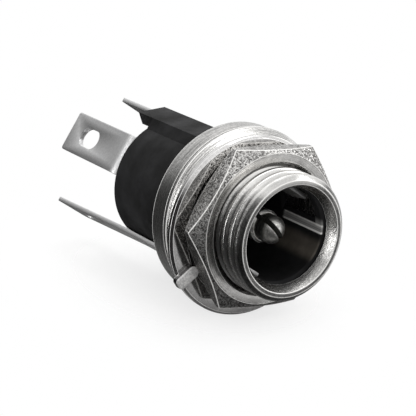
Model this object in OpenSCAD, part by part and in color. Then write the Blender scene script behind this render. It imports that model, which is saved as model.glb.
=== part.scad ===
// Panel-mount DC power jack for a 5.5 x 2.1 mm barrel plug.
// The mouth looks along -Y and the solder lugs point along +Y, with +Z up.
// The origin is on the jack's axis, in the front face of the flange, which is
// the face that seats on the back of the panel.
// Depths are measured along +Y from that face, so the mouth has a negative depth.
// Clock angles are seen from the mouth, and go from +X towards +Z.

/* [Threaded barrel] */
// Outside diameter of the thread
thread_d = 8; // [7.4:0.1:10]
// Pitch of the thread
thread_pitch = 0.75; // [0.5:0.05:1]
// Length of the barrel in front of the flange
barrel_len = 4.35; // [3.4:0.05:9]
// Bore of the barrel
barrel_bore_d = 6.6; // [6.4:0.05:6.9]
// Width of the bevel that starts the thread
thread_bevel = 0.29; // [0.1:0.01:0.5]
// Width of the bevel at the edge of the bore
bore_bevel = 0.1; // [0.02:0.01:0.2]
// Depth of the thin run-out groove where the thread meets the flange
relief_depth = 0.2; // [0.16:0.01:0.3]
// Length of the run-out groove
relief_len = 0.3; // [0.1:0.05:0.6]

/* [Flange] */
// Diameter of the flange
flange_d = 11.5; // [11:0.1:16]
// Diameter of the skirt behind the flange
skirt_d = 11.4; // [10.8:0.1:15]
// Distance from the front face to the rear edge of the skirt
flange_t = 2.75; // [2.5:0.05:5]
// Width of the bevel of the flange's front edge
flange_bevel = 0.22; // [0.1:0.01:0.4]
// Width of the rounding bevel at the rear edge of the skirt
skirt_bevel = 0.25; // [0.1:0.05:0.5]
// Depth of the line where the skirt meets the flange
seam_depth = 1.13; // [0.8:0.01:1.6]
// Width of the groove along that line
seam_w = 0.14; // [0.06:0.01:0.3]
// Width of the slot that lets the sleeve contact out through the skirt
skirt_slot_w = 2; // [1.8:0.1:3]

/* [Tab washer] */
// Diameter of the washer
washer_d = 11.54; // [11:0.02:14]
// Thickness of the washer
washer_t = 0.45; // [0.3:0.05:0.55]
// Play of the washer on the thread, across the diameter
washer_play = 1.1; // [1:0.05:1.4]
// How far the washer has dropped off the axis, towards its tab
washer_drop = 0.5; // [0:0.05:0.5]
// Clock angle of the tab
tab_clock = 209; // [180:1:240]
// Width of the tab, which is folded over the front face
tab_w = 0.9; // [0.8:0.05:1.5]
// Thickness of the folded tab
tab_t = 0.4; // [0.3:0.05:0.5]
// Length of the folded tab, measured from the washer's edge
tab_len = 1.2; // [1.1:0.05:1.22]

/* [Nut] */
// Distance across the flats
nut_af = 10; // [9.6:0.1:12]
// Thickness of the nut
nut_t = 1.5; // [1.2:0.05:2.6]
// Gap between the flange and the nut, which leaves room for a panel
nut_gap = 0.65; // [0.62:0.01:1.9]
// Diameter of the flat ring on each face of the nut
nut_face_d = 9.6; // [9.2:0.1:9.9]
// Angle of the corner bevels
nut_bevel_angle = 30; // [20:1:40]
// Width of the countersink at each end of the nut's thread
nut_countersink = 0.5; // [0.4:0.05:0.6]
// Clock angle of one corner
nut_clock = 53; // [0:1:59]

/* [Insulating body] */
// Diameter of the body behind the flange
body_d = 8.5; // [8.4:0.1:9]
// Depth of the rear face of the body
body_rear = 9.5; // [9:0.1:14]
// Bore that takes the plug
plug_bore_d = 6; // [5.6:0.05:6]
// Depth of the bottom of that bore
plug_floor = 6; // [5:0.1:7]
// Distance from the mouth back to the front of the insulating sleeve
sleeve_setback = 0.96; // [0.5:0.02:2]
// Depth of the shoulder where the sleeve becomes the body
shoulder_depth = 0.8; // [0.5:0.1:1.2]
// Width of the lead-in bevel of the sleeve
sleeve_bevel = 0.17; // [0.1:0.01:0.4]
// Distance from the axis to the flat top of the raised back, which covers the spring
saddle_top = 4.15; // [4.05:0.05:4.6]
// Width of that flat top, between its two sloping corners
saddle_flat_w = 4.2; // [3:0.1:5]
// Width of the raised back across its upright sides
saddle_w = 7.4; // [6.8:0.1:8]
// Distance from the axis to the top of those sides, where the sloping corners start
saddle_side = 2.9; // [2.4:0.1:3.4]
// How far the raised back runs on behind the body as a hood
hood_len = 1.8; // [0.6:0.1:2.5]
// Inner diameter of the hood
hood_inner_d = 7.6; // [6.6:0.1:7.8]

/* [Centre pin] */
// Diameter of the pin
pin_d = 2.1; // [1.9:0.05:2.5]
// Diameter of the domed tip
pin_tip_d = 1.78; // [1.5:0.02:1.78]
// Radius of the dome
pin_dome_r = 1; // [0.96:0.02:1.6]
// Distance from the mouth back to the point of the dome
pin_setback = 1.5; // [0.8:0.1:2.5]
// Length of the domed tip, up to the step
pin_tip_len = 1.3; // [1:0.1:2]
// Width of the slot that splits the pin
pin_slot_w = 0.33; // [0.2:0.01:0.5]
// Length of the slot
pin_slot_len = 4.2; // [2:0.1:6]
// Clock angle of the slot
pin_slot_clock = 124.5; // [0:0.5:180]
// Diameter of the collar that seats on the floor of the bore
pin_collar_d = 3.2; // [2.6:0.1:3.6]
// Thickness of the collar
pin_collar_t = 0.5; // [0.3:0.05:0.8]
// Diameter of the shank in the body's rear wall
pin_shank_d = 1.3; // [1:0.05:1.6]
// Diameter of the riveted head behind the lug
rivet_d = 2; // [1.8:0.1:2.4]
// Height of the riveted head
rivet_h = 0.35; // [0.2:0.05:0.5]

/* [Terminals] */
// Width of a solder lug
lug_w = 2.8; // [2.4:0.1:3]
// Thickness of the centre lug
centre_lug_t = 0.38; // [0.3:0.02:0.5]
// Distance from the axis to the middle of the centre lug
centre_lug_r = 4; // [3.6:0.05:4]
// Depth of the tip of the centre lug
centre_lug_tip = 16.6; // [15:0.1:22]
// Inside radius of the centre lug's bend
centre_lug_bend = 0.5; // [0.3:0.05:0.8]
// Thickness of the two side contacts
contact_t = 0.3; // [0.2:0.02:0.34]
// Distance from the axis to the middle of the spring contact's lug
spring_lug_r = 3.65; // [3.6:0.01:3.75]
// Depth of the tip of the spring contact's lug
spring_lug_tip = 17.25; // [15:0.05:22]
// Distance from the axis to the middle of the sleeve contact's lug
sleeve_lug_r = 4.3; // [4.2:0.01:4.45]
// How far that lug spreads outwards at its tip
sleeve_lug_spread = 0.25; // [0:0.05:0.8]
// Depth of the tip of the sleeve contact's lug
sleeve_lug_tip = 17.9; // [15:0.1:22]
// Width of the spring inside the bore
leaf_w = 2; // [1.6:0.1:2.4]
// Width of the fixed contact inside the bore
fixed_w = 1.6; // [1.2:0.1:1.7]
// Width of the window in the sleeve that the spring works in
window_w = 5; // [3:0.1:5.2]
// Distance from the axis to the rubbing face of the spring at rest
spring_touch_r = 2.5; // [2.4:0.05:2.6]
// Distance from the axis to the rubbing face of the fixed contact
fixed_touch_r = 2.7; // [2.6:0.01:2.72]
// Width of the wire hole in a lug
eye_w = 1.35; // [1:0.05:1.6]
// Length of the wire hole in a lug
eye_l = 2.2; // [1.6:0.1:3]
// Distance from the tip of a lug to the middle of its wire hole
eye_setback = 2.5; // [2:0.1:3.5]
// Corner cut at the tip of a lug
lug_nick = 0.12; // [0.05:0.01:0.3]
// Clock angle of the spring contact; the sleeve contact is opposite it
lug_clock = 53; // [30:1:60]
// Clock angle of the centre lug, which sits between the two
centre_clock = 145; // [130:1:155]

/* [Hidden] */
$fn = 96;

// Running clearance between pieces that slide into each other
fit = 0.03;
// Rounding that the die leaves along the front edge of the washer
washer_roll = 0.18;
// How far the fold of the tab stands proud of the washer's edge, and its rounding
tab_proud = 0.08;
tab_fold = 0.25;
// How far the nut's corner bevels run on past its corners
nut_clear = 0.1;
// Extra length of a cutting shape past the face that it opens
over = 1;
// Steps in each bend of a strip
bend_steps = 6;

mouth = -barrel_len;
thread_r = thread_d / 2;
// Inside the nut the two threads are carried at their pitch radius
pitch_r = thread_r - 0.325 * thread_pitch;
washer_bore_d = thread_d + washer_play;
barrel_bore_r = barrel_bore_d / 2;
body_r = body_d / 2;
plug_bore_r = plug_bore_d / 2;
// The slots of the fixed contact are cut out to here, just clear of the body
slot_reach = body_r + 0.25;
hood_inner_r = hood_inner_d / 2;
pin_r = pin_d / 2;
sleeve_front = mouth + sleeve_setback;
sleeve_r = barrel_bore_r - fit;
hood_rear = body_rear + hood_len;
nut_front = -nut_gap - nut_t;

spring_clock = lug_clock;
sleeve_clock = lug_clock + 180;

// Channel of the spring in the body: sides, floor and the depths where it starts and ends
channel_half = lug_w / 2 + 0.1;
channel_top = spring_lug_r + contact_t / 2 + fit;
channel_bottom = spring_lug_r - contact_t / 2 - fit;
window_half = window_w / 2;
window_front = sleeve_front + 0.75;
spring_nose = window_front + 0.15;
spring_crown = mouth + 3.1;
spring_step = shoulder_depth + 2.2;
spring_neck_r = plug_bore_r - contact_t / 2 + 0.02;
// The fixed contact: the depths of its nose and of the leg that leads out through the wall
fixed_nose = sleeve_front + 1;
fixed_leg = seam_depth + 0.75;
fixed_wide = flange_t + 0.3;
fixed_mid_r = fixed_touch_r + contact_t / 2;
recess_half = lug_w / 2 + 0.06;

// ---- helpers -------------------------------------------------------------

// Turns a shape that is made round Z, with Z as depth, onto the jack's axis
module on_axis() {
    rotate([-90, 0, 0]) children();
}

// Turns a shape that is made with its radial direction along +X to its clock angle
module clocked(angle) {
    rotate([0, -angle, 0]) children();
}

// A disc or a hole on the axis between two depths
module round_bar(d, from, to) {
    translate([0, from, 0]) on_axis() cylinder(d = d, h = to - from);
}

// A block by its radial, depth and width limits, before it is clocked
module slab(r0, r1, d0, d1, half) {
    translate([r0, d0, -half]) cube([r1 - r0, d1 - d0, 2 * half]);
}

function unit(v) = v / norm(v);
function left_of(v) = [-v[1], v[0]];
function turned(v, a) = [v[0] * cos(a) - v[1] * sin(a), v[0] * sin(a) + v[1] * cos(a)];

// The points of one rounded corner of a bent strip
function corner(a, b, c, r) =
    let (u = unit(b - a), v = unit(c - b))
    let (side = cross(u, v) > 0 ? 1 : -1)
    let (angle = acos(min(1, u * v)))
    let (start = b - u * r * tan(angle / 2))
    let (centre = start + left_of(u) * side * r)
    [for (k = [0 : bend_steps]) centre + turned(start - centre, side * angle * k / bend_steps)];

// The middle line of a bent strip, with each corner rounded
function bent(points, r) =
    let (last = len(points) - 1)
    [points[0],
     for (i = [1 : last - 1]) each corner(points[i - 1], points[i], points[i + 1], r),
     points[last]];

// The direction of a line at one of its points
function heading(line, i) =
    unit(line[min(i + 1, len(line) - 1)] - line[max(i - 1, 0)]);

// The outline of a strip of a given thickness along its middle line
function ribbon(line, t) =
    let (last = len(line) - 1)
    [for (i = [0 : last]) line[i] + left_of(heading(line, i)) * t / 2,
     for (i = [last : -1 : 0]) line[i] - left_of(heading(line, i)) * t / 2];

// A bent strip: its line runs in radius and depth, and its width is along Z
module strip(line, t, width) {
    translate([0, 0, -width / 2]) linear_extrude(width) polygon(ribbon(line, t));
}

// What is taken off the tip of a lug: its corners and its long wire hole
module lug_cuts(tip, r) {
    for (side = [-1, 1]) {
        translate([r - over, 0, 0]) rotate([90, 0, 90]) linear_extrude(2 * over)
            polygon([[tip - lug_nick, side * lug_w / 2],
                     [tip, side * (lug_w / 2 - lug_nick)],
                     [tip + over, side * (lug_w / 2 - lug_nick)],
                     [tip + over, side * (lug_w / 2 + over)],
                     [tip - lug_nick, side * (lug_w / 2 + over)]]);
    }
    straight = (eye_l - eye_w) / 2;
    for (s = [-1, 1]) {
        translate([r - over, tip - eye_setback + s * straight, 0]) rotate([0, 90, 0])
            cylinder(d = eye_w, h = 2 * over);
    }
    translate([r - over, tip - eye_setback - straight, -eye_w / 2]) cube([2 * over, 2 * straight, eye_w]);
}

// ---- the pieces ----------------------------------------------------------

// Half the section of the shell, as radius and depth
function shell_section() = [
    [barrel_bore_r, mouth + bore_bevel],
    [barrel_bore_r + bore_bevel, mouth],
    [thread_r - thread_bevel, mouth],
    [thread_r, mouth + thread_bevel],
    [thread_r, nut_front],
    [pitch_r, nut_front],
    [pitch_r, -nut_gap],
    [thread_r, -nut_gap],
    [thread_r, -relief_len - relief_depth],
    [thread_r - relief_depth, -relief_len],
    [thread_r - relief_depth, 0],
    [flange_d / 2 - flange_bevel, 0],
    [flange_d / 2, flange_bevel],
    [flange_d / 2, seam_depth - seam_w / 2],
    [flange_d / 2 - seam_w / 2, seam_depth],
    [skirt_d / 2, seam_depth + seam_w / 2],
    [skirt_d / 2, flange_t - skirt_bevel],
    [skirt_d / 2 - skirt_bevel, flange_t],
    [body_r + fit, flange_t],
    [body_r + fit, shoulder_depth],
    [barrel_bore_r, shoulder_depth]
];

// The die-cast shell: threaded barrel, flange and skirt in one piece
module shell() {
    color("silver") difference() {
        on_axis() rotate_extrude() polygon(shell_section());
        clocked(sleeve_clock) slab(body_r - over, flange_d, seam_depth, flange_t + over, skirt_slot_w / 2);
    }
}

// Half the section of the washer, with the die-roll of its front edge
function washer_section() = [
    [washer_d / 2 - washer_roll, -washer_t],
    [washer_d / 2, -washer_t + washer_roll],
    [washer_d / 2, 0],
    [washer_bore_d / 2, 0],
    [washer_bore_d / 2, -washer_t]
];

// The washer's tab, folded back over the front face, with a round inner end
module folded_tab() {
    inner = washer_d / 2 - tab_len + tab_w / 2;
    outer = washer_d / 2 + tab_proud;
    front = -washer_t - tab_t;
    translate([inner, front, 0]) on_axis() cylinder(d = tab_w, h = tab_t);
    slab(inner, outer - tab_fold, front, -washer_t, tab_w / 2);
    translate([0, 0, -tab_w / 2]) linear_extrude(tab_w) polygon([
        [outer - tab_fold, front],
        [outer - tab_fold / 3, front + tab_fold / 4],
        [outer, front + tab_fold],
        [outer, -tab_fold],
        [outer - tab_fold, 0],
        [inner, 0],
        [inner, front]]);
}

// The stamped washer under the nut, loose on the thread, with its folded tab
module tab_washer() {
    color("lightgray") clocked(tab_clock) translate([washer_drop, 0, 0]) {
        on_axis() rotate_extrude() polygon(washer_section());
        folded_tab();
    }
}

// The corner bevel of the nut, as a turned outline that trims the hexagon
module nut_envelope() {
    corner_r = nut_af / 2 / cos(30) + nut_clear;
    drop = (corner_r - nut_face_d / 2) * tan(nut_bevel_angle);
    translate([0, nut_front, 0]) on_axis() rotate_extrude() polygon([
        [0, 0],
        [nut_face_d / 2, 0],
        [corner_r, drop],
        [corner_r, nut_t - drop],
        [nut_face_d / 2, nut_t],
        [0, nut_t]]);
}

// The countersink at one face of the nut
module nut_countersink_cut(face, inwards) {
    bore_r = pitch_r + fit;
    translate([0, face, 0]) on_axis() rotate_extrude() polygon([
        [0, -inwards * over],
        [bore_r + nut_countersink + over, -inwards * over],
        [bore_r, inwards * nut_countersink],
        [0, inwards * nut_countersink]]);
}

// The thin hexagon nut that clamps the panel
module hex_nut() {
    color("lightgray") difference() {
        intersection() {
            clocked(nut_clock) translate([0, nut_front, 0]) on_axis()
                cylinder(r = nut_af / 2 / cos(30), h = nut_t, $fn = 6);
            nut_envelope();
        }
        round_bar(2 * (pitch_r + fit), nut_front - over, over);
        nut_countersink_cut(nut_front, 1);
        nut_countersink_cut(-nut_gap, -1);
    }
}

// Half the section of the insulating body, as radius and depth
function body_section() = [
    [0, plug_floor],
    [plug_bore_r, plug_floor],
    [plug_bore_r, sleeve_front + sleeve_bevel],
    [min(plug_bore_r + sleeve_bevel, sleeve_r - 0.05), sleeve_front],
    [sleeve_r, sleeve_front],
    [sleeve_r, shoulder_depth],
    [body_r, shoulder_depth],
    [body_r, body_rear],
    [0, body_rear]
];

// The outline of the raised back across the axis: upright sides, sloping corners, flat top
function saddle_outline(foot) = [
    foot,
    [saddle_side, -saddle_w / 2],
    [saddle_top, -saddle_flat_w / 2],
    [saddle_top, saddle_flat_w / 2],
    [saddle_side, saddle_w / 2],
    [foot[0], -foot[1]]
];

// The raised back over the spring
module saddle() {
    clocked(spring_clock) translate([0, flange_t, 0]) on_axis()
        linear_extrude(body_rear - flange_t) polygon(saddle_outline([body_r / 2, -saddle_w / 2]));
}

// The hood that the raised back ends in: a roof, with a bridge round the spring's lug
module hood() {
    difference() {
        clocked(spring_clock) translate([0, body_rear - 0.5, 0]) on_axis()
            linear_extrude(hood_len + 0.5) polygon(saddle_outline([over, -over]));
        round_bar(hood_inner_d, body_rear, hood_rear + over);
    }
    clocked(spring_clock)
        slab(channel_bottom - 0.5, hood_inner_r + 0.1, body_rear - 0.5, hood_rear, channel_half + 0.4);
}

// What is taken off the round body to make the flat top of its raised back
module flat_top_cut() {
    clocked(spring_clock)
        slab(saddle_top, saddle_top + 1, flange_t - 0.2, hood_rear + over, saddle_flat_w / 2);
}

// The space of the spring: a slot in the rear wall, a deep channel and a window in the sleeve
module spring_space() {
    clocked(spring_clock) {
        slab(channel_bottom, channel_top, plug_floor, hood_rear + over, lug_w / 2 + fit);
        slab(0, channel_top, shoulder_depth, plug_floor + 0.6, channel_half);
        slab(0, thread_r, window_front, shoulder_depth + 0.1, window_half);
    }
}

// The space of the fixed contact: a groove along the bore, a slot through the wall and a flat
module sleeve_space() {
    half = fixed_w / 2 + fit;
    clocked(sleeve_clock) {
        slab(0, fixed_touch_r + contact_t + fit, fixed_nose - 0.1, fixed_leg + contact_t / 2 + fit, half);
        slab(0, slot_reach, fixed_leg - contact_t / 2 - fit, fixed_leg + contact_t / 2 + fit, half);
        slab(sleeve_lug_r - contact_t / 2 - fit, slot_reach, fixed_leg, fixed_wide + over, half);
        slab(sleeve_lug_r - contact_t / 2 - fit, slot_reach, fixed_wide - fit, body_rear + over, recess_half);
    }
}

// The moulded insulating body: sleeve, body, raised back and hood in one piece
module body() {
    color("#1c1c1e") difference() {
        union() {
            on_axis() rotate_extrude() polygon(body_section());
            saddle();
            hood();
        }
        flat_top_cut();
        round_bar(plug_bore_d, sleeve_front - over, plug_floor);
        round_bar(pin_shank_d + 2 * fit, plug_floor - over, body_rear + over);
        spring_space();
        sleeve_space();
    }
}

// The turned centre pin, split at its tip and riveted behind the centre lug
module centre_pin() {
    tip = mouth + pin_setback;
    seat = plug_floor;
    head = body_rear + centre_lug_t;
    color("gold") difference() {
        union() {
            intersection() {
                translate([0, tip + pin_dome_r, 0]) sphere(r = pin_dome_r);
                round_bar(pin_tip_d, tip - over, tip + pin_dome_r);
            }
            round_bar(pin_tip_d, tip + pin_dome_r, tip + pin_tip_len + 0.1);
            round_bar(pin_d, tip + pin_tip_len, seat);
            round_bar(pin_collar_d, seat - pin_collar_t, seat);
            round_bar(pin_shank_d, seat, head);
            round_bar(rivet_d, head, head + rivet_h);
        }
        clocked(pin_slot_clock) slab(-pin_d, pin_d, tip - over, tip + pin_slot_len, pin_slot_w / 2);
    }
}

// The middle line of the centre lug: out along the rear face, then back along the axis
function centre_lug_line() =
    let (face = body_rear + centre_lug_t / 2)
    bent([[-rivet_d / 2 - 0.35, face], [centre_lug_r, face], [centre_lug_r, centre_lug_tip]],
         centre_lug_bend + centre_lug_t / 2);

// The centre lug: a bent strip, riveted to the rear face by the pin
module centre_lug() {
    color("gainsboro") difference() {
        clocked(centre_clock) difference() {
            strip(centre_lug_line(), centre_lug_t, lug_w);
            lug_cuts(centre_lug_tip, centre_lug_r);
        }
        round_bar(pin_shank_d + 2 * fit, body_rear - over, body_rear + centre_lug_t + over);
    }
}

// The middle line of the spring contact, from its curled nose to the tip of its lug
function spring_line() =
    let (crown_r = spring_touch_r + contact_t / 2)
    bent([[spring_neck_r - 0.03, spring_nose],
          [crown_r, spring_crown],
          [spring_neck_r, shoulder_depth + 0.6],
          [spring_lug_r, spring_step],
          [spring_lug_r, spring_lug_tip]], 0.6);

// The spring contact: a leaf that rubs on the plug, and its solder lug
module spring_contact() {
    color("gainsboro") clocked(spring_clock) difference() {
        strip(spring_line(), contact_t, lug_w);
        lug_cuts(spring_lug_tip, spring_lug_r);
        for (side = [-1, 1]) {
            translate([0, spring_nose - over, side * (leaf_w / 2 + over) - over])
                cube([thread_r, spring_step + over - spring_nose, 2 * over]);
        }
    }
}

// The middle line of the fixed contact, from its nose out through the wall to its lug
function sleeve_line() =
    bent([[fixed_mid_r, fixed_nose],
          [fixed_mid_r, fixed_leg],
          [sleeve_lug_r, fixed_leg],
          [sleeve_lug_r, body_rear + 0.4],
          [sleeve_lug_r + sleeve_lug_spread, sleeve_lug_tip]], contact_t / 2 + 0.05);

// The sleeve contact: a fixed strip along the bore, and its solder lug outside the body
module sleeve_contact() {
    color("gainsboro") clocked(sleeve_clock) difference() {
        strip(sleeve_line(), contact_t, lug_w);
        lug_cuts(sleeve_lug_tip, sleeve_lug_r + sleeve_lug_spread);
        for (side = [-1, 1]) {
            translate([0, fixed_nose - over, side * (fixed_w / 2 + over) - over])
                cube([flange_d / 2, fixed_wide + over - fixed_nose, 2 * over]);
        }
    }
}

shell();
tab_washer();
hex_nut();
body();
centre_pin();
centre_lug();
spring_contact();
sleeve_contact();
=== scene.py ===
import math

import bmesh
import bpy
from mathutils import Matrix, Vector


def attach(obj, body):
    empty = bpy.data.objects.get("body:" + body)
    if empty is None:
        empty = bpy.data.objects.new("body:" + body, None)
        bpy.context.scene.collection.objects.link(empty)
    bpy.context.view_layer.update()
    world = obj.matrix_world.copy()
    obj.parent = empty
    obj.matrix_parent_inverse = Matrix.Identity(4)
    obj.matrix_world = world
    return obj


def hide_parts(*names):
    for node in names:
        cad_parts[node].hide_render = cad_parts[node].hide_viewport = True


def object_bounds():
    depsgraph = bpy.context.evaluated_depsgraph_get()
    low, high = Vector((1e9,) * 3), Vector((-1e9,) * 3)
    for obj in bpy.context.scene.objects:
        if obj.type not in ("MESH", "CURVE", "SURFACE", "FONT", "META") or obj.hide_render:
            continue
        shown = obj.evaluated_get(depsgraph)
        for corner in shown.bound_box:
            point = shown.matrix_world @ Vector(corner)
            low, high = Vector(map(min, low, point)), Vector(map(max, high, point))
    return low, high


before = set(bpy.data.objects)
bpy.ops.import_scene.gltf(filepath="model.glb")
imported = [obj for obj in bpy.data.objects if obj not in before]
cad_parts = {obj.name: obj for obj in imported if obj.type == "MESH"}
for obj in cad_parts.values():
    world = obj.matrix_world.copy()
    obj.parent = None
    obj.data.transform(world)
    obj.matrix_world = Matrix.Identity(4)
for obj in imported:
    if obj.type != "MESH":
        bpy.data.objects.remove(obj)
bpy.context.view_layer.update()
MM = 0.001


# ---- Threaded shell ---------------------------------------------------------
# The barrel, the flange and its skirt are one turned brass piece, nickel plated.
# The thread is rolled on the barrel with round crests, and the barrel's top is painted lighter as a painted
# highlight.
# The mouth opens in a cone that leads the plug in.

MOUTH = -4.35
BORE_RADIUS = 3.30
THREAD_PITCH = 0.75
THREAD_CREST = 4.0
THREAD_DEPTH = 0.27
THREAD_START = MOUTH + 0.31
THREAD_STOP = -0.40
FLANGE_RADIUS = 5.749
SKIRT_RADIUS = 5.70
SKIRT_BACK = 2.75
SEAM_FLOOR = 5.62
SLEEVE_CLOCK = 233
# faces that meet at more than this many degrees make a sharp edge
SHARP_EDGE = 32


def rounded(corners, radii, steps=4):
    """A closed outline with each corner turned into a small arc of steps + 1 points.

    Each point is x, y and its wear and painted highlight: 1 along an arc and 0 at its two ends.
    """
    out = []
    count = len(corners)
    nearly_straight = math.radians(176)
    for i, corner in enumerate(corners):
        here = Vector(corner)
        back, ahead = Vector(corners[i - 1]) - here, Vector(corners[(i + 1) % count]) - here
        turn = back.angle(ahead, math.pi)
        if radii[i] <= 0 or turn > nearly_straight:
            out += [here.to_3d()] * (steps + 1)
            continue
        # an arc takes less than half of the side before it and of the side after it
        run = min(radii[i] / math.tan(turn / 2), back.length * 0.48, ahead.length * 0.48)
        size = run * math.tan(turn / 2)
        back, ahead = back.normalized(), ahead.normalized()
        middle = here + (back + ahead).normalized() * size / math.sin(turn / 2)
        for k in range(steps + 1):
            spoke = (back * run + here - middle).lerp(ahead * run + here - middle, k / steps)
            point = middle + spoke.normalized() * size
            out.append(Vector((point.x, point.y, 1.0 if 0 < k < steps else 0.0)))
    return out


def on_axis(radius, depth, clock):
    """A point by its radius, its depth behind the flange's face and its clock angle."""
    return Vector((radius * math.cos(clock), depth, radius * math.sin(clock))) * MM


def smoothed(mesh, sharp=SHARP_EDGE):
    """Shades a mesh smooth apart from its sharp edges."""
    mesh.polygons.foreach_set("use_smooth", [True] * len(mesh.polygons))
    mesh.set_sharp_from_angle(angle=math.radians(sharp))


def finished(name, mesh, sharp=SHARP_EDGE):
    """Merges doubles, turns the faces outwards, and smooths what isn't an edge."""
    work = bmesh.new()
    work.from_mesh(mesh)
    bmesh.ops.remove_doubles(work, verts=work.verts, dist=2e-8)
    bmesh.ops.dissolve_degenerate(work, edges=work.edges, dist=1e-8)
    bmesh.ops.recalc_face_normals(work, faces=work.faces)
    work.to_mesh(mesh)
    work.free()
    smoothed(mesh, sharp)
    thing = bpy.data.objects.new(name, mesh)
    bpy.context.scene.collection.objects.link(thing)
    return thing


def skin(name, rings, wear_and_highlight):
    """A closed mesh over a ring of closed sections, each a list of points in the same order."""
    mesh = bpy.data.meshes.new(name)
    count, size = len(rings), len(rings[0])
    faces = []
    for i in range(count):
        j = (i + 1) % count
        for k in range(size):
            m = (k + 1) % size
            faces.append((i * size + k, i * size + m, j * size + m, j * size + k))
    mesh.from_pydata([p for ring in rings for p in ring], [], faces)
    mesh.attributes.new("wear_and_highlight", "FLOAT", "POINT").data.foreach_set("value", list(wear_and_highlight) * count)
    return finished(name, mesh)


def turned(name, section, steps=192):
    """A turned piece: its section goes round the axis."""
    clocks = [2 * math.pi * i / steps for i in range(steps)]
    rings = [[on_axis(r, y, c) for r, y, _ in section] for c in clocks]
    return skin(name, rings, [w for _, _, w in section])


def block(name, clock, radial, depth, half_width):
    """A plain block at a clock angle, for cutting slots."""
    c = math.radians(clock)
    out = Vector((math.cos(c), 0, math.sin(c)))
    side = Vector((-math.sin(c), 0, math.cos(c)))
    corners = [(out * r + side * w + Vector((0, y, 0))) * MM
               for r in radial for y in depth for w in (-half_width, half_width)]
    sides = [(0, 1, 3, 2), (4, 6, 7, 5), (0, 4, 5, 1), (2, 3, 7, 6), (0, 2, 6, 4), (1, 5, 7, 3)]
    mesh = bpy.data.meshes.new(name)
    mesh.from_pydata(corners, [], sides)
    return finished(name, mesh)


def settled(thing):
    """Makes the result of a piece's modifiers its plain mesh."""
    sight = bpy.context.evaluated_depsgraph_get()
    mesh = bpy.data.meshes.new_from_object(thing.evaluated_get(sight))
    thing.modifiers.clear()
    thing.data = mesh
    smoothed(mesh)


def cut(thing, cutter, edge):
    """Takes a block out of a piece and breaks the new edges a little."""
    step = thing.modifiers.new("cut", "BOOLEAN")
    step.operation = "DIFFERENCE"
    step.solver = "EXACT"
    step.object = cutter
    soften = thing.modifiers.new("soften", "BEVEL")
    soften.width = edge * MM
    soften.segments = 2
    soften.limit_method = "ANGLE"
    soften.angle_limit = math.radians(40)
    settled(thing)
    bpy.data.objects.remove(cutter)


def spread(low, high, count):
    """Evenly spaced values from low to high, with both ends."""
    return [low + (high - low) * i / count for i in range(count + 1)]


# each corner of the section: its radius, its depth and how much it is rounded
shell_corners = [
    # the cone of the mouth and its flat lip
    (BORE_RADIUS, MOUTH + 0.80, 0.0), (3.05, MOUTH + 0.72, 0.04), (3.41, MOUTH, 0.06), (3.68, MOUTH, 0.07),
    # the threaded barrel and the neck behind it
    (THREAD_CREST, THREAD_START, 0.0), (THREAD_CREST, -0.34, 0.0), (3.80, -0.20, 0.05), (3.80, 0.0, 0.0),
    # the flange's seat, its front half and the seam
    (5.38, 0.0, 0.10), (FLANGE_RADIUS, 0.86, 0.30), (FLANGE_RADIUS, 1.04, 0.03),
    (SEAM_FLOOR, 1.10, 0.0), (SEAM_FLOOR, 1.18, 0.0),
    # the skirt, and the seat of the moulded body inside it
    (SKIRT_RADIUS, 1.24, 0.04), (SKIRT_RADIUS, 2.50, 0.16), (5.45, SKIRT_BACK, 0.12),
    (4.28, SKIRT_BACK, 0.0), (4.28, 0.80, 0.0), (BORE_RADIUS, 0.80, 0.0)]
section = rounded([corner[:2] for corner in shell_corners], [corner[2] for corner in shell_corners])
# fine steps along the crest, for the thread to be pressed into
threaded_part = [Vector((THREAD_CREST, y, 0)) for y in spread(MOUTH + 0.33, -0.36, 108)]
# they come after the first five corners, of five points each
lip_points = 5 * 5
barrel_section = section[:lip_points] + threaded_part + section[lip_points:]
shell = turned("threaded_shell", barrel_section, 288)


def socketed(tree, kind, inputs=(), **settings):
    """Adds a node, sets it up and joins its inputs: a socket is linked, a value is set."""
    node = tree.nodes.new(kind)
    for key, value in settings.items():
        setattr(node, key, value)
    for slot, value in dict(inputs).items():
        if hasattr(value, "is_output"):
            tree.links.new(value, node.inputs[slot])
        else:
            node.inputs[slot].default_value = value
    return node


def sums(tree, operation, a, b=0.0, clamp=False):
    """A sum of one or two values."""
    node = socketed(tree, "ShaderNodeMath", {0: a, 1: b}, operation=operation)
    node.use_clamp = clamp
    return node.outputs[0]


def times(tree, *values):
    """The product of several values."""
    result = values[0]
    for value in values[1:]:
        result = sums(tree, "MULTIPLY", result, value)
    return result


def rest_of(tree, value):
    """What a value leaves of one whole."""
    return sums(tree, "SUBTRACT", 1.0, value)


def smooth(tree, value, low, high, first=0.0, last=1.0):
    """Goes smoothly from first to last as a value goes from low to high."""
    inputs = {0: value, 1: low, 2: high, 3: first, 4: last}
    return socketed(tree, "ShaderNodeMapRange", inputs, interpolation_type="SMOOTHSTEP").outputs[0]


def axes_of(tree, place):
    """The three coordinates of a place."""
    return socketed(tree, "ShaderNodeSeparateXYZ", {0: place}).outputs


def long_side(tree, a, b):
    """The long side of a right-angled triangle, from the two short ones."""
    return sums(tree, "SQRT", sums(tree, "ADD", times(tree, a, a), times(tree, b, b)))


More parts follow.
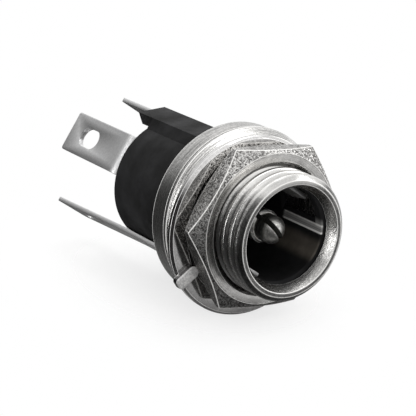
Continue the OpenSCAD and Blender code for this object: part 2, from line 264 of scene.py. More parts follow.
def rolled_thread():
    """Geometry Nodes: presses a helical groove into the barrel between two depths."""
    tree = bpy.data.node_groups.new("rolled_thread", "GeometryNodeTree")
    face = tree.interface
    face.new_socket("Geometry", in_out="INPUT", socket_type="NodeSocketGeometry")
    lengths = {"Pitch": THREAD_PITCH, "Groove Depth": THREAD_DEPTH, "Crest Radius": THREAD_CREST,
               "Start": THREAD_START, "End": THREAD_STOP, "Fade": 0.30}
    for label, length in lengths.items():
        face.new_socket(label, in_out="INPUT", socket_type="NodeSocketFloat").default_value = length * MM
    face.new_socket("Plating", in_out="INPUT", socket_type="NodeSocketMaterial")
    face.new_socket("Geometry", in_out="OUTPUT", socket_type="NodeSocketGeometry")
    source = tree.nodes.new("NodeGroupInput").outputs
    result = tree.nodes.new("NodeGroupOutput").inputs
    axes = axes_of(tree, tree.nodes.new("GeometryNodeInputPosition").outputs[0])

    # how many pitches along the helix, and so how far from groove to crest
    turns = sums(tree, "DIVIDE", sums(tree, "ARCTAN2", axes[2], axes[0]), 2 * math.pi)
    climb = sums(tree, "ADD", sums(tree, "DIVIDE", axes[1], source["Pitch"]), turns)
    phase = sums(tree, "FRACT", climb)
    # 0 at the middle of the groove and 1 at the middle of the crest
    to_crest = sums(tree, "ABSOLUTE", sums(tree, "SUBTRACT", times(tree, phase, 2.0), 1.0))
    flank = smooth(tree, to_crest, 0.06, 0.74, 1.0, 0.0)

    # only the crest's surface is pressed, and the groove fades out at both ends
    radius = long_side(tree, axes[0], axes[2])
    just_under = sums(tree, "SUBTRACT", source["Crest Radius"], 0.004 * MM)
    on_crest = sums(tree, "GREATER_THAN", radius, just_under)
    full_from = sums(tree, "ADD", source["Start"], source["Fade"])
    full_to = sums(tree, "SUBTRACT", source["End"], source["Fade"])
    lead_in = smooth(tree, axes[1], source["Start"], full_from)
    run_out = smooth(tree, axes[1], source["End"], full_to)
    depth = times(tree, flank, source["Groove Depth"], on_crest, lead_in, run_out)

    from_axis = socketed(tree, "ShaderNodeCombineXYZ", {0: axes[0], 2: axes[2]}).outputs[0]
    outwards = socketed(tree, "ShaderNodeVectorMath", {0: from_axis}, operation="NORMALIZE").outputs[0]
    inwards = times(tree, depth, -1.0)
    push = socketed(tree, "ShaderNodeVectorMath", {0: outwards, 3: inwards}, operation="SCALE").outputs[0]
    moved = socketed(tree, "GeometryNodeSetPosition", {0: source["Geometry"], 3: push})
    real = socketed(tree, "GeometryNodeRealizeInstances", {0: moved.outputs[0]})
    coated = socketed(tree, "GeometryNodeSetMaterial", {0: real.outputs[0], 2: source["Plating"]})
    tree.links.new(coated.outputs[0], result[0])
    return tree


def own_place(tree):
    """A spot's place on the piece, in metres."""
    return tree.nodes.new("ShaderNodeTexCoord").outputs["Object"]


def noise(tree, place, scale, detail, roughness=0.5):
    """A cloudy value round one half."""
    inputs = {"Vector": place, "Scale": scale, "Detail": detail, "Roughness": roughness}
    return socketed(tree, "ShaderNodeTexNoise", inputs).outputs[0]


def blend(tree, amount, first, second):
    """Goes from the first colour to the second by an amount."""
    return socketed(tree, "ShaderNodeMix", {0: amount, 6: first, 7: second}, data_type="RGBA").outputs[2]


def plating_group():
    """Shader group: the turning marks, pits and stains of a plated surface, with painted shade and dark
    joints where a mask asks for them, and a painted highlight on worn edges.
    """
    tree = bpy.data.node_groups.new("plating_wear_and_light", "ShaderNodeTree")
    face = tree.interface
    for label, value in (("Grain Size", 0.12), ("Pits", 0.5), ("Streaks", 0.3), ("Stain", 0.5),
                         ("Dirt And Shade", 0.0), ("Wear And Highlight", 0.0), ("Matt", 0.0), ("Gloss", 0.2), ("Dull", 0.4)):
        face.new_socket(label, in_out="INPUT", socket_type="NodeSocketFloat").default_value = value
    for label, colour in (("Light Tone", (0.8, 0.8, 0.8, 1)), ("Dark Tone", (0.2, 0.2, 0.2, 1))):
        face.new_socket(label, in_out="INPUT", socket_type="NodeSocketColor").default_value = colour
    for label, kind in (("Color", "Color"), ("Roughness", "Float"), ("Height", "Float")):
        face.new_socket(label, in_out="OUTPUT", socket_type="NodeSocket" + kind)
    source = tree.nodes.new("NodeGroupInput").outputs
    result = tree.nodes.new("NodeGroupOutput").inputs

    spot = own_place(tree)
    axes = axes_of(tree, spot)
    per_grain = sums(tree, "DIVIDE", 1.0 / MM, source["Grain Size"])
    fine = noise(tree, spot, per_grain, 5.0, 0.75)
    broad = noise(tree, spot, 620.0, 4.0, 0.6)
    # turning marks run round the axis, so they change with radius and depth only, but for a slight wander
    wander = 0.03
    outwards = sums(tree, "ADD", long_side(tree, axes[0], axes[2]), times(tree, axes[0], wander))
    backwards = sums(tree, "ADD", axes[1], times(tree, axes[2], wander))
    round_it = socketed(tree, "ShaderNodeCombineXYZ", {0: outwards, 1: backwards}).outputs[0]
    marks = noise(tree, round_it, 11000.0, 2.0, 0.7)
    layers = {"Pits": smooth(tree, fine, 0.42, 0.60), "Streaks": smooth(tree, marks, 0.36, 0.60),
              "Stain": smooth(tree, broad, 0.38, 0.64)}
    tone = 1.0
    for label, layer in layers.items():
        kept = rest_of(tree, times(tree, rest_of(tree, layer), source[label]))
        tone = times(tree, kept, tone)

    # the painted shade and dark joints lie unevenly, thinner where the plating is proud
    uneven = sums(tree, "SUBTRACT", 1.25, times(tree, fine, 0.7))
    dirt_and_shade = sums(tree, "MULTIPLY", source["Dirt And Shade"], uneven, clamp=True)
    tone = sums(tree, "MULTIPLY", tone, rest_of(tree, dirt_and_shade), clamp=True)
    # edges are rubbed, and carry a painted highlight past the brightest plating
    patchy = sums(tree, "ADD", 0.55, times(tree, fine, 0.7))
    rubbed_and_highlit = sums(tree, "MULTIPLY", source["Wear And Highlight"], patchy, clamp=True)
    tone = sums(tree, "ADD", tone, times(tree, rubbed_and_highlit, sums(tree, "SUBTRACT", 1.15, tone)))
    tree.links.new(blend(tree, tone, source["Dark Tone"], source["Light Tone"]), result["Color"])

    dulled = {0: tone, 1: 0.0, 2: 1.0, 3: source["Dull"], 4: source["Gloss"]}
    rough = socketed(tree, "ShaderNodeMapRange", dulled).outputs[0]
    rough = sums(tree, "ADD", rough, times(tree, rubbed_and_highlit, 0.25))
    tree.links.new(sums(tree, "ADD", rough, source["Matt"], clamp=True), result["Roughness"])
    pitted = times(tree, layers["Pits"], source["Pits"])
    streaked = times(tree, marks, source["Streaks"])
    height = sums(tree, "ADD", sums(tree, "ADD", pitted, streaked), times(tree, broad, 0.35))
    tree.links.new(height, result["Height"])
    return tree


plating_wear_and_light = plating_group()


def ramp_of(tree, value, points):
    """A mask that goes through (value, amount) points, in millimetres, as a stack of steps."""
    mask = points[0][1]
    for (a, before), (b, after) in zip(points, points[1:]):
        mask = sums(tree, "ADD", smooth(tree, value, a, b, 0.0, after - before), mask)
    return mask


def place_in(tree):
    """A spot's radius and depth, and how far it is across and up from the axis, in millimetres."""
    axes = axes_of(tree, own_place(tree))
    measures = (long_side(tree, axes[0], axes[2]), axes[1], axes[0], axes[2])
    return [times(tree, measure, 1.0 / MM) for measure in measures]


def plated(name, values, light, dark, bump, masks=None):
    """A plated metal that uses the shared group of wear, painted shade and painted highlights, with its own
    values and masks.
    """
    metal = bpy.data.materials.new(name)
    metal.use_nodes = True
    tree = metal.node_tree
    surface = tree.nodes["Principled BSDF"]
    wear_and_light = tree.nodes.new("ShaderNodeGroup")
    wear_and_light.node_tree = plating_wear_and_light
    for label, value in values.items():
        wear_and_light.inputs[label].default_value = value
    wear_and_light.inputs["Light Tone"].default_value = (*light, 1)
    wear_and_light.inputs["Dark Tone"].default_value = (*dark, 1)
    named = {"attribute_type": "GEOMETRY", "attribute_name": "wear_and_highlight"}
    edges = socketed(tree, "ShaderNodeAttribute", **named).outputs["Fac"]
    tree.links.new(edges, wear_and_light.inputs["Wear And Highlight"])
    # fine scratches on the rubbed edges scatter the light
    tree.links.new(rest_of(tree, times(tree, edges, 0.65)), surface.inputs["Metallic"])
    if masks:
        for label, mask in masks(tree).items():
            tree.links.new(mask, wear_and_light.inputs[label])
    tree.links.new(wear_and_light.outputs["Color"], surface.inputs["Base Color"])
    tree.links.new(wear_and_light.outputs["Roughness"], surface.inputs["Roughness"])
    relief = {"Strength": bump, "Distance": 0.02 * MM, "Height": wear_and_light.outputs["Height"]}
    tree.links.new(socketed(tree, "ShaderNodeBump", relief).outputs[0], surface.inputs["Normal"])
    return metal


def shell_wear_and_light(tree):
    """Painted shade in the thread's grooves and in rings on the mouth's lip, a dark seam, a darker skirt, and
    a painted highlight on the top of the barrel.
    """
    radius, depth, _, up = place_in(tree)
    barrel = ramp_of(tree, radius, [(5.0, 1.0), (5.2, 0.0)])
    behind_lip = ramp_of(tree, depth, [(MOUTH + 0.24, 0.0), (MOUTH + 0.34, 1.0)])
    # painted shade in the thread's grooves and in rings on the mouth's lip
    groove = ramp_of(tree, radius, [(3.50, 0.0), (3.60, 0.95), (3.78, 0.95), (3.92, 0.0)])
    lip_rings = ramp_of(tree, radius, [(3.44, 0.0), (3.47, 0.85), (3.60, 0.85), (3.64, 0.0),
                                       (3.70, 0.0), (3.75, 0.95), (3.90, 0.95), (3.98, 0.1)])
    in_groove = times(tree, behind_lip, groove)
    on_lip = times(tree, rest_of(tree, behind_lip), lip_rings)
    on_barrel = times(tree, barrel, sums(tree, "MAXIMUM", in_groove, on_lip))

    in_seam = times(tree, ramp_of(tree, depth, [(1.02, 0.0), (1.09, 1.0), (1.19, 1.0), (1.26, 0.0)]),
                    ramp_of(tree, radius, [(5.4, 0.0), (5.6, 1.0)]))
    on_skirt = times(tree, ramp_of(tree, depth, [(1.15, 0.0), (1.4, 1.0)]),
                     ramp_of(tree, radius, [(5.3, 0.0), (5.5, 1.0)]))
    front_half = times(tree, ramp_of(tree, depth, [(0.05, 0.0), (0.15, 1.0), (0.95, 1.0), (1.0, 0.0)]),
                       ramp_of(tree, radius, [(5.3, 0.0), (5.45, 1.0)]))
    on_flange = sums(tree, "MAXIMUM", in_seam, times(tree, on_skirt, 0.26))

    in_bore = ramp_of(tree, radius, [(3.40, 1.0), (3.44, 0.0)])
    # the top of the barrel is painted lighter, a painted highlight that also thins the pits, streaks and
    # shade there
    painted_top_highlight = times(tree, ramp_of(tree, up, [(2.6, 0.0), (3.4, 1.0)]), barrel)
    kept = rest_of(tree, times(tree, painted_top_highlight, 0.75))
    brushed = times(tree, sums(tree, "ADD", on_skirt, front_half), 0.28)
    return {"Dirt And Shade": times(tree, sums(tree, "MAXIMUM", on_flange, on_barrel), kept),
            "Pits": times(tree, 0.35, kept),
            "Streaks": sums(tree, "ADD", times(tree, 0.30, kept), brushed),
            "Matt": times(tree, sums(tree, "ADD", in_bore, on_skirt), 0.08)}


shell_plating = plated("shell_nickel", {"Grain Size": 0.12, "Stain": 0.15, "Gloss": 0.09, "Dull": 0.32},
                       (0.90, 0.89, 0.87), (0.03, 0.03, 0.03), 0.30, shell_wear_and_light)
roller = shell.modifiers.new("rolled_thread", "NODES")
roller.node_group = rolled_thread()
for item in roller.node_group.interface.items_tree:
    if item.in_out == "INPUT" and item.name == "Plating":
        roller[item.identifier] = shell_plating
settled(shell)
# the slot through the skirt that lets the sleeve contact out
cut(shell, block("skirt_slot", SLEEVE_CLOCK, (3.3, 11.5), (1.13, 3.8), 1.0), 0.04)
shell.data.materials.clear()
shell.data.materials.append(shell_plating)
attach(shell, "root")
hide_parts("shell")


# ---- Tab washer -------------------------------------------------------------
# A thin washer stamped from brass strip and polished before plating. It hangs loose
# on the thread, a little off the axis, with its tab folded over its front face.

WASHER_BORE = 4.55
WASHER_FRONT = -0.45
WASHER_DROP = 0.5
WASHER_CLOCK = math.radians(209)
TAB_CLOCK = math.radians(211)
TAB_START = Vector((-4.50, 0, -2.04))
TAB_FRONT, TAB_REAR = -0.85, -0.42
washer = turned("polished_washer", rounded(
    [(WASHER_BORE, WASHER_FRONT), (5.61, WASHER_FRONT), (5.77, -0.27), (5.77, 0.0), (WASHER_BORE, 0.0)],
    [0.04, 0.05, 0.05, 0.05, 0.04]))


def tab_outline(long, half, corner):
    """The tab seen from the front: a full round inner end and a softly rounded outer end."""
    inner = spread(-math.pi / 2, math.pi / 2, 14)
    out = [Vector((half - half * math.cos(a), half * math.sin(a))) for a in inner]
    straight, level = long - corner, half - corner
    for side in (1, -1):
        arc = [Vector((straight + corner * math.sin(a), side * (level + corner * math.cos(a))))
               for a in spread(0, math.pi / 2, 6)]
        out += arc if side > 0 else arc[::-1]
    return out


def pillow(name, outline, front, rear, edge):
    """A flat blank with its front edge rubbed round, and wear with a painted highlight at half strength on
    its front face.
    """
    work = bmesh.new()
    back_face = work.faces.new([work.verts.new((p.x, rear, p.y)) for p in outline])
    raised = bmesh.ops.extrude_face_region(work, geom=[back_face])
    for v in raised["geom"]:
        if isinstance(v, bmesh.types.BMVert):
            v.co.y = front
    rim = [e for e in work.edges if all(abs(v.co.y - front) < 1e-6 for v in e.verts)]
    bmesh.ops.bevel(work, geom=rim, offset=edge, segments=4, profile=0.5, affect="EDGES")
    mesh = bpy.data.meshes.new(name)
    work.to_mesh(mesh)
    work.free()
    rubbed_and_highlit = [0.5 if v.co.y < front + edge else 0.0 for v in mesh.vertices]
    mesh.attributes.new("wear_and_highlight", "FLOAT", "POINT").data.foreach_set("value", rubbed_and_highlit)
    return mesh


tab_mesh = pillow("tab", tab_outline(1.66, 0.41, 0.24), TAB_FRONT, TAB_REAR, 0.10)
tab_mesh.transform(Matrix.Scale(MM, 4))
tab = finished("tab", tab_mesh)
tab.data.transform(Matrix.Translation(TAB_START * MM) @ Matrix.Rotation(-TAB_CLOCK, 4, "Y"))
washer.data.transform(Matrix.Rotation(-WASHER_CLOCK, 4, "Y") @ Matrix.Translation((WASHER_DROP * MM, 0, 0)))


def joined(main, other):
    """Puts two meshes of one real piece into one object."""
    work = bmesh.new()
    work.from_mesh(main.data)
    work.from_mesh(other.data)
    work.to_mesh(main.data)
    work.free()
    bpy.data.objects.remove(other)
    smoothed(main.data)


joined(washer, tab)


def washer_wear_and_shade(tree):
    """Painted shade under the nut, a painted shadow along the sides of the tab, and a pitted face on the tab.
    """
    radius, depth, *_ = place_in(tree)
    # painted shade under the nut, and a painted shadow along the sides of the tab
    under_nut = ramp_of(tree, radius, [(4.0, 0.8), (4.9, 0.0)])
    tab_sides = ramp_of(tree, depth, [(-0.80, 0.0), (-0.72, 0.95), (-0.47, 0.95), (-0.452, 0.0)])
    return {"Dirt And Shade": sums(tree, "MAXIMUM", under_nut, tab_sides),
            "Pits": ramp_of(tree, depth, [(-0.82, 0.7), (-0.6, 0.22)]),
            "Matt": ramp_of(tree, depth, [(-0.82, 0.3), (-0.6, 0.0)])}


washer.data.materials.append(plated(
    "washer_nickel", {"Grain Size": 0.10, "Streaks": 0.05, "Stain": 0.25, "Gloss": 0.05, "Dull": 0.22},
    (0.84, 0.83, 0.82), (0.05, 0.05, 0.05), 0.08, washer_wear_and_shade))
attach(washer, "root")
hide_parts("tab_washer")


# ---- Hexagon nut ------------------------------------------------------------
# A thin brass nut, sawn from hexagon bar and plated. Its corners are turned off on
# both faces, which leaves a flat ring round the thread and pitted cones outside it.

NUT_FLAT = 5.0
NUT_FACE = 4.8
NUT_FRONT, NUT_REAR = -2.15, -0.65
NUT_CLOCK = 53
NUT_BORE = 3.79
COUNTERSINK = 0.5
CONE_ANGLE = math.radians(30)
CORNER_ROUND = 0.12


def hexagon_radius(clock):
    """The distance from the axis to the nut's side at a clock angle, with rubbed corners."""
    off = (clock - NUT_CLOCK + 30) % 60 - 30
    flat = NUT_FLAT / math.cos(math.radians(30 - abs(off)))
    centre = (NUT_FLAT - CORNER_ROUND) / math.cos(math.radians(30))
    aside = centre * math.sin(math.radians(off))
    if abs(aside) > CORNER_ROUND:
        return flat
    return min(flat, centre * math.cos(math.radians(off)) + math.sqrt(CORNER_ROUND ** 2 - aside ** 2))


def nut_section(clock):
    """The nut's section at a clock angle, from its bore out to its side and back."""
    side = hexagon_radius(clock)
    drop = (side - NUT_FACE) * math.tan(CONE_ANGLE)
    ring = NUT_BORE + COUNTERSINK
    corners = [(NUT_BORE, NUT_FRONT + COUNTERSINK), (ring, NUT_FRONT), (NUT_FACE, NUT_FRONT),
               (side, NUT_FRONT + drop), (side, NUT_REAR - drop),
               (NUT_FACE, NUT_REAR), (ring, NUT_REAR), (NUT_BORE, NUT_REAR - COUNTERSINK)]
    return rounded(corners, [0, 0.05, 0.10, 0.10, 0.09, 0.10, 0.05, 0], 3)


# sections lie close together round each corner and evenly along each side
nut_clocks = []
for corner_clock in range(NUT_CLOCK, NUT_CLOCK + 360, 60):
    nut_clocks += [corner_clock + a for a in (-1.4, -1.0, -0.7, -0.35, 0, 0.35, 0.7, 1.0)]
    nut_clocks += spread(corner_clock + 1.4, corner_clock + 58.6, 40)[:-1]
nut_rings = [[on_axis(r, y, math.radians(c)) for r, y, _ in nut_section(c)] for c in nut_clocks]
nut = skin("hexagon_nut", nut_rings, [w for _, _, w in nut_section(0)])


def nut_wear_and_shade(tree):
    """The turned faces are smooth. The cones and the sawn sides are coarse and pitted. Painted shade darkens
    the countersink round the bore.
    """
    radius, depth, *_ = place_in(tree)
    on_face = times(tree, ramp_of(tree, radius, [(4.66, 1.0), (4.86, 0.0)]),
                    ramp_of(tree, depth, [(-2.12, 1.0), (-2.06, 0.0)]))
    return {"Pits": sums(tree, "ADD", 0.12, times(tree, rest_of(tree, on_face), 0.78)),
            "Streaks": times(tree, on_face, 0.22),
            # painted shade in the countersink, where the nut meets the thread
            "Dirt And Shade": ramp_of(tree, radius, [(4.05, 0.85), (4.28, 0.0)])}


nut.data.materials.append(plated(
    "nut_nickel", {"Grain Size": 0.13, "Stain": 0.35, "Gloss": 0.12, "Dull": 0.36},
    (0.86, 0.85, 0.83), (0.03, 0.027, 0.025), 0.50, nut_wear_and_shade))
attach(nut, "root")
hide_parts("hex_nut")


# ---- Insulating body --------------------------------------------------------
# One black thermoset moulding: the thin sleeve inside the barrel, the round body
# behind the flange and the hood over the spring's lug. Its bore carries painted
# pale highlight bands and a painted brownish sheen.


def black_moulding():
    """Matt black resin, with painted pale highlight bands and a painted brownish sheen on the bore's wall."""
    resin = bpy.data.materials.new("black_moulding")
    resin.use_nodes = True
    tree = resin.node_tree
    surface = tree.nodes["Principled BSDF"]
    spot = own_place(tree)
    cloud = noise(tree, spot, 430.0, 5.0, 0.6)
    clouded = socketed(tree, "ShaderNodeMapRange", {0: cloud, 1: 0.35, 2: 0.68}).outputs[0]
    tone = blend(tree, clouded, (0.008, 0.008, 0.008, 1), (0.020, 0.020, 0.021, 1))

    radius, depth, across, up = place_in(tree)
    right_half = sums(tree, "GREATER_THAN", across, 0.0)
    bore_wall = ramp_of(tree, radius, [(2.90, 0.0), (2.95, 1.0), (3.06, 1.0), (3.10, 0.0)])
    # a painted brownish sheen low on the wall, on its right half
    low_down = ramp_of(tree, up, [(-2.3, 0.0), (-1.8, 1.0), (-1.3, 0.8), (-0.75, 0.0)])
    tone = blend(tree, times(tree, low_down, right_half, cloud, bore_wall), tone, (0.20, 0.175, 0.145, 1))
    # painted highlights of the spring window's lit edges, as pale bands just below the window
    painted_highlight_bands = ramp_of(tree, up, [
        (-0.60, 0.0), (-0.57, 0.9), (-0.48, 0.9), (-0.44, 0.24), (-0.34, 0.30), (-0.31, 0.12),
        (-0.28, 0.30), (-0.16, 0.36), (-0.12, 0.75), (-0.05, 0.75), (0.02, 0.2), (0.47, 0.0)])
    in_sleeve = ramp_of(tree, depth, [(-3.45, 0.0), (-3.35, 1.0), (0.5, 1.0), (0.8, 0.0)])
    tone = blend(tree, times(tree, bore_wall, in_sleeve, painted_highlight_bands, right_half), tone, (0.85, 0.84, 0.82, 1))
    tree.links.new(tone, surface.inputs["Base Color"])

    dulled = socketed(tree, "ShaderNodeMapRange", {0: cloud, 1: 0.3, 2: 0.7, 3: 0.70, 4: 0.52}).outputs[0]
    tree.links.new(dulled, surface.inputs["Roughness"])
    relief = {"Strength": 0.25, "Distance": 0.01 * MM, "Height": noise(tree, spot, 9000.0, 2.0)}
    tree.links.new(socketed(tree, "ShaderNodeBump", relief).outputs[0], surface.inputs["Normal"])
    surface.inputs["Specular IOR Level"].default_value = 0.10
    return resin


# the CAD solid is shown as it is
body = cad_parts["body"]
body.data.materials.clear()
body.data.materials.append(black_moulding())


# ---- Centre pin -------------------------------------------------------------
# A turned brass pin, nickel plated, with a domed tip that a saw cut splits, so that
# it springs against the plug. Its collar rests on the floor of the bore, and its
# tail goes through the rear wall and is riveted over the centre lug.

PIN_TIP = MOUTH + 1.5
PIN_RADIUS = 1.05
TIP_RADIUS = 0.89
DOME_RADIUS = 1.0
COLLAR_RADIUS, COLLAR_FRONT, BORE_FLOOR = 1.6, 5.5, 6.0
SHANK_RADIUS = 0.65
RIVET_RADIUS, RIVET_FRONT, RIVET_BACK = 1.0, 9.88, 10.23


def dome(point, radius, edge):
    """The section of a domed end, from the axis out to its edge."""
    reach = math.asin(edge / radius)
    return [Vector((radius * math.sin(a), point + radius - radius * math.cos(a), 0))
            for a in spread(0, reach, 10)]


pin_section = dome(PIN_TIP, DOME_RADIUS, TIP_RADIUS)
pin_section += rounded(
    [(TIP_RADIUS, PIN_TIP + 1.3), (PIN_RADIUS, PIN_TIP + 1.42), (PIN_RADIUS, COLLAR_FRONT),
     (COLLAR_RADIUS, COLLAR_FRONT), (COLLAR_RADIUS, BORE_FLOOR), (SHANK_RADIUS, BORE_FLOOR),
     (SHANK_RADIUS, RIVET_FRONT), (RIVET_RADIUS, RIVET_FRONT), (RIVET_RADIUS, RIVET_BACK), (0, RIVET_BACK)],
    [0.03, 0.05, 0, 0.04, 0, 0, 0, 0, 0.12, 0])
pin = turned("split_pin", pin_section, 96)
cut(pin, block("saw_cut", 124.5, (-1.5, 1.5), (PIN_TIP - 1, PIN_TIP + 4.2), 0.165), 0.035)
pin.data.materials.append(plated(
    "pin_nickel",
    {"Grain Size": 0.16, "Pits": 0.35, "Streaks": 0.40, "Stain": 0.30, "Gloss": 0.26, "Dull": 0.42},
    (0.98, 0.97, 0.94), (0.12, 0.12, 0.11), 0.50))
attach(pin, "root")
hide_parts("centre_pin")


# ---- Centre lug -------------------------------------------------------------
# A flat solder lug stamped from tinned brass strip, with a long eye for the wire.
# It is bent square at the rear of the body, where the pin is riveted through it.

CENTRE_CLOCK = 145
CENTRE_THICK = 0.38
LUG_HALF = 1.4
LUG_NICK = 0.12
SHEARED_EDGE = 0.035


def bent(points, radius, steps=8):
    """The middle line of a bent strip, with each bend rounded, as (radius, depth)."""
    out = [Vector(points[0])]
    for a, b, c in zip(points, points[1:], points[2:]):
        u, v = (Vector(b) - Vector(a)).normalized(), (Vector(c) - Vector(b)).normalized()
        turn = u.angle(v)
        side = 1 if u.x * v.y - u.y * v.x > 0 else -1
        start = Vector(b) - u * radius * math.tan(turn / 2)
        middle = start + Vector((-u.y, u.x)) * side * radius
        spoke = start - middle
        for k in range(steps + 1):
            angle = side * turn * k / steps
            out.append(middle + Vector((spoke.x * math.cos(angle) - spoke.y * math.sin(angle),
                                        spoke.x * math.sin(angle) + spoke.y * math.cos(angle))))
    out.append(Vector(points[-1]))
    return out


def run_of(line):
    """The length along the line at each of its points."""
    total = [0.0]
    for a, b in zip(line, line[1:]):
        total.append(total[-1] + (b - a).length)
    return total


def blank(name, outline, holes, thick):
    """A flat stamped blank with softened edges: X along the strip, Y across, Z through it."""
    curve = bpy.data.curves.new(name, "CURVE")
    curve.dimensions = "2D"
    curve.fill_mode = "BOTH"
    curve.extrude = thick / 2 - SHEARED_EDGE
    curve.bevel_depth = SHEARED_EDGE
    curve.bevel_resolution = 1
    curve.offset = -SHEARED_EDGE
    for loop in [outline] + holes:
        spline = curve.splines.new("POLY")
        spline.points.add(len(loop) - 1)
        for point, (s, w) in zip(spline.points, loop):
            point.co = (s, w, 0, 1)
        spline.use_cyclic_u = True
    thing = bpy.data.objects.new(name, curve)
    bpy.context.scene.collection.objects.link(thing)
    mesh = bpy.data.meshes.new_from_object(thing.evaluated_get(bpy.context.evaluated_depsgraph_get()))
    bpy.data.objects.remove(thing)
    return mesh


def stamped_strip(name, line, thick, clock, outline, holes):
    """A stamped blank bent along its middle line and turned to its clock angle."""
    reach = run_of(line)
    mesh = blank(name, outline, holes, thick)
    work = bmesh.new()
    work.from_mesh(mesh)
    bmesh.ops.remove_doubles(work, verts=work.verts, dist=1e-5)
    # an edge across the blank at each point of the line, so that it can bend there
    for s in reach[1:-1]:
        geom = list(work.verts) + list(work.edges) + list(work.faces)
        bmesh.ops.bisect_plane(work, geom=geom, plane_co=(s, 0, 0), plane_no=(1, 0, 0), dist=1e-6)
    c = math.radians(clock)
    out, side = Vector((math.cos(c), 0, math.sin(c))), Vector((-math.sin(c), 0, math.cos(c)))
    for v in work.verts:
        s, w, n = v.co
        i = min(max(sum(1 for r in reach if r <= s + 1e-7) - 1, 0), len(line) - 2)
        run = line[i + 1] - line[i]
        at = line[i] + run * ((s - reach[i]) / run.length)
        ahead = run.normalized()
        if 0 < i and s - reach[i] < 1e-5:
            ahead = (ahead + (line[i] - line[i - 1]).normalized()).normalized()
        at = at + Vector((-ahead.y, ahead.x)) * n
        v.co = (out * at.x + side * w + Vector((0, at.y, 0))) * MM
    work.to_mesh(mesh)
    work.free()
    return finished(name, mesh, 25)


def eye(centre, long, wide):
    """The outline of a long hole with round ends."""
    half, round_end = (long - wide) / 2, wide / 2
    arc = [(half + round_end * math.cos(a), round_end * math.sin(a))
           for a in spread(-math.pi / 2, math.pi / 2, 16)]
    return [(centre + s, w) for s, w in arc] + [(centre - s, w) for s, w in reversed(arc)]


def wire_eye(long):
    """The eye for the wire, near the end of a strip of this length."""
    return eye(long - 2.5, 2.2, 1.35)


def lug_end(long):
    """The end of a lug, with its two corners nicked off."""
    nicked = LUG_HALF - LUG_NICK
    return [(long - LUG_NICK, -LUG_HALF), (long, -nicked), (long, nicked), (long - LUG_NICK, LUG_HALF)]


def grey(tone):
    """A neutral colour."""
    return (tone, tone, tone, 1)


def tinned(name, clock, face_tone, edge_and_highlight_tone):
    """Tinned strip: rolled satin faces, and sheared edges painted bright, partly as a painted highlight."""
    metal = bpy.data.materials.new(name)
    metal.use_nodes = True
    tree = metal.node_tree
    surface = tree.nodes["Principled BSDF"]
    surface.inputs["Metallic"].default_value = 1.0
    wear_and_light = tree.nodes.new("ShaderNodeGroup")
    wear_and_light.node_tree = plating_wear_and_light
    for label, value in (("Grain Size", 0.16), ("Pits", 0.35), ("Streaks", 0.0), ("Stain", 0.30),
                         ("Gloss", 0.36), ("Dull", 0.55)):
        wear_and_light.inputs[label].default_value = value
    wear_and_light.inputs["Light Tone"].default_value = grey(face_tone)
    wear_and_light.inputs["Dark Tone"].default_value = grey(face_tone * 0.62)
    # the sheared edges are the faces that look across the strip, and they carry a painted highlight
    c = math.radians(clock)
    facing = tree.nodes.new("ShaderNodeNewGeometry").outputs["True Normal"]
    across = socketed(tree, "ShaderNodeVectorMath", {0: facing, 1: (-math.sin(c), 0, math.cos(c))},
                      operation="DOT_PRODUCT").outputs["Value"]
    squareness = sums(tree, "ABSOLUTE", across)
    sheared_and_highlit = socketed(tree, "ShaderNodeMapRange", {0: squareness, 1: 0.35, 2: 0.8}).outputs[0]
    tree.links.new(blend(tree, sheared_and_highlit, wear_and_light.outputs["Color"], grey(edge_and_highlight_tone)), surface.inputs["Base Color"])
    tree.links.new(wear_and_light.outputs["Roughness"], surface.inputs["Roughness"])
    relief = {"Strength": 0.3, "Distance": 0.015 * MM, "Height": wear_and_light.outputs["Height"]}
    tree.links.new(socketed(tree, "ShaderNodeBump", relief).outputs[0], surface.inputs["Normal"])
    return metal


# along the rear wall, over the pin's tail, and then straight back
centre_line = bent([(-1.35, 9.69), (4.0, 9.69), (4.0, 16.6)], 0.69)
centre_long = run_of(centre_line)[-1]
rivet_hole = eye(1.35, 1.32, 1.32)
centre_blank = [(0, -LUG_HALF)] + lug_end(centre_long) + [(0, LUG_HALF)]
lug = stamped_strip("centre_solder_lug", centre_line, CENTRE_THICK, CENTRE_CLOCK,
                    centre_blank, [wire_eye(centre_long), rivet_hole])
lug.data.materials.append(tinned("centre_lug_tin", CENTRE_CLOCK, 0.86, 0.90))
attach(lug, "root")
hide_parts("centre_lug")


# ---- Spring contact ---------------------------------------------------------
# A springy tinned brass strip: its leaf bows into the bore and rubs on the plug, and
# its tail leaves under the hood as the top solder lug.

SPRING_CLOCK = 53
CONTACT_THICK = 0.3
SPRING_END = 17.25


def contact_blank(long, wide_from, start, nose, neck):
    """A contact's blank: a narrow leaf that tapers to its nose, and then a wide lug."""
    lower = [(start, -nose), (wide_from, -neck), (wide_from, -LUG_HALF)]
    return lower + lug_end(long) + [(s, -w) for s, w in reversed(lower)]


spring_line = bent([(2.84, -2.49), (2.65, -1.25), (2.87, 1.4), (3.65, 3.0), (3.65, SPRING_END)], 0.6)
spring_long = run_of(spring_line)[-1]
# the strip widens to its lug 4 mm behind the flange's face
spring_blank = contact_blank(spring_long, spring_long - (SPRING_END - 4.0), 0.08, 0.92, 1.0)
spring = stamped_strip("spring_leaf", spring_line, CONTACT_THICK, SPRING_CLOCK,
                       spring_blank, [wire_eye(spring_long)])
spring.data.materials.append(tinned("spring_tin", SPRING_CLOCK, 0.62, 0.80))
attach(spring, "root")
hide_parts("spring_contact")


# ---- Sleeve contact ---------------------------------------------------------
# A stiff tinned brass strip that lies along the bore opposite the spring, goes out
# through the body under the skirt, and runs back outside it as the lower solder lug.

SLEEVE_END = 17.9
sleeve_line = bent([(2.85, -2.39), (2.85, 1.88), (4.3, 1.88), (4.3, 9.9), (4.55, SLEEVE_END)], 0.2)
sleeve_long = run_of(sleeve_line)[-1]
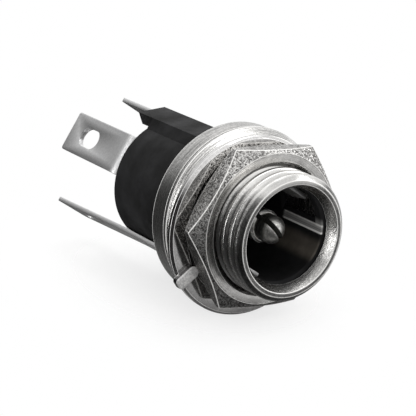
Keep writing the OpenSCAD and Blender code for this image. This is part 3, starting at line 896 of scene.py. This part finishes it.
# the strip widens to its lug about 4 mm behind the flange's face, outside the skirt
sleeve_blank = contact_blank(sleeve_long, sleeve_long - (SLEEVE_END - 4.05), 0.06, 0.74, 0.8)
sleeve = stamped_strip("sleeve_strip", sleeve_line, CONTACT_THICK, SLEEVE_CLOCK,
                       sleeve_blank, [wire_eye(sleeve_long)])
sleeve.data.materials.append(tinned("sleeve_tin", SLEEVE_CLOCK, 0.62, 0.80))
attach(sleeve, "root")
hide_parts("sleeve_contact")


# ---- Floor, lights and camera -----------------------------------------------
# An oval of studio paper just under the washer's rim, which fades into a white room,
# a large soft light above, a strip at each side, and a camera that looks down on the
# jack from its front left.

FLOOR_HALF = 0.12
FLOOR_GAP = 0.00002
OVAL_WIDE, OVAL_LONG = 12 * MM, 18 * MM

low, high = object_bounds()
height = low.z - FLOOR_GAP
floor_corners = [(x * FLOOR_HALF, y * FLOOR_HALF, height) for x, y in ((-1, -1), (1, -1), (1, 1), (-1, 1))]
floor_mesh = bpy.data.meshes.new("floor")
floor_mesh.from_pydata(floor_corners, [], [(0, 1, 2, 3)])
floor = bpy.data.objects.new("floor", floor_mesh)
bpy.context.scene.collection.objects.link(floor)


def pale_paper(centre):
    """Paper that takes a soft shadow, glows for the camera and fades out round a centre."""
    paper = bpy.data.materials.new("pale_paper")
    paper.use_nodes = True
    tree = paper.node_tree
    sheet = tree.nodes["Principled BSDF"]
    sheet.inputs["Base Color"].default_value = (0.38, 0.38, 0.38, 1)
    sheet.inputs["Roughness"].default_value = 0.9
    sheet.inputs["Specular IOR Level"].default_value = 0.0
    axes = axes_of(tree, own_place(tree))
    across = sums(tree, "DIVIDE", axes[0], OVAL_WIDE)
    along = sums(tree, "DIVIDE", sums(tree, "SUBTRACT", axes[1], centre), OVAL_LONG)
    shown = smooth(tree, long_side(tree, across, along), 0.0, 1.1, 1.0, 0.0)
    tree.links.new(shown, sheet.inputs["Alpha"])
    by_camera = tree.nodes.new("ShaderNodeLightPath").outputs["Is Camera Ray"]
    sheet.inputs["Emission Color"].default_value = (1, 1, 1, 1)
    tree.links.new(times(tree, by_camera, 0.62), sheet.inputs["Emission Strength"])
    return paper


floor_mesh.materials.append(pale_paper((low.y + high.y) / 2))


def soft_light(name, place, aim, wide, tall, power):
    """A rectangular lamp that faces the jack."""
    lamp = bpy.data.lights.new(name, "AREA")
    lamp.shape = "RECTANGLE"
    lamp.size, lamp.size_y, lamp.energy = wide, tall, power
    thing = bpy.data.objects.new(name, lamp)
    thing.location = place
    thing.rotation_euler = (aim - place).to_track_quat("-Z", "Y").to_euler()
    bpy.context.scene.collection.objects.link(thing)


middle = (low + high) / 2
soft_light("top_light", middle + Vector((0.05, 0.03, 0.16)), middle, 0.16, 0.12, 0.10)
soft_light("right_light", middle + Vector((0.15, -0.06, 0.07)), middle, 0.05, 0.12, 0.045)
soft_light("left_light", middle + Vector((-0.15, -0.02, 0.035)), middle, 0.055, 0.12, 0.078)


def white_room():
    """A room that is white to the camera, but that metal sees as bright only up and to the right."""
    world = bpy.data.worlds.new("studio")
    world.use_nodes = True
    tree = world.node_tree
    sky = tree.nodes["Background"]
    sky.inputs["Color"].default_value = (1, 1, 1, 1)
    rays = tree.nodes.new("ShaderNodeLightPath").outputs
    direction = tree.nodes.new("ShaderNodeTexCoord").outputs["Generated"]
    bright_side = (0.62, -0.05, 0.78)
    lit = socketed(tree, "ShaderNodeVectorMath", {0: direction, 1: bright_side}, operation="DOT_PRODUCT")
    room = smooth(tree, lit.outputs["Value"], -0.24, 0.44, 0.025, 1.05)
    mirrored = sums(tree, "MAXIMUM", rays["Is Glossy Ray"], rays["Is Transmission Ray"])
    on_jack = socketed(tree, "ShaderNodeMix", {0: mirrored, 2: 0.85, 3: room}).outputs[0]
    strength = socketed(tree, "ShaderNodeMix", {0: rays["Is Camera Ray"], 2: on_jack, 3: 1.0})
    tree.links.new(strength.outputs[0], sky.inputs["Strength"])
    return world


bpy.context.scene.world = white_room()

lens = bpy.data.cameras.new("camera")
lens.lens, lens.sensor_width = 145.3, 36.0
lens.clip_start, lens.clip_end = 0.005, 5.0
camera = bpy.data.objects.new("camera", lens)
camera.location = Vector((-57.0, MOUTH - 76.2, 34.2)) * MM
camera.rotation_euler = Vector((0.526, 0.788, -0.321)).to_track_quat("-Z", "Y").to_euler()
bpy.context.scene.collection.objects.link(camera)
bpy.context.scene.camera = camera
bpy.context.scene.view_settings.view_transform = "Standard"

bpy.context.view_layer.update()
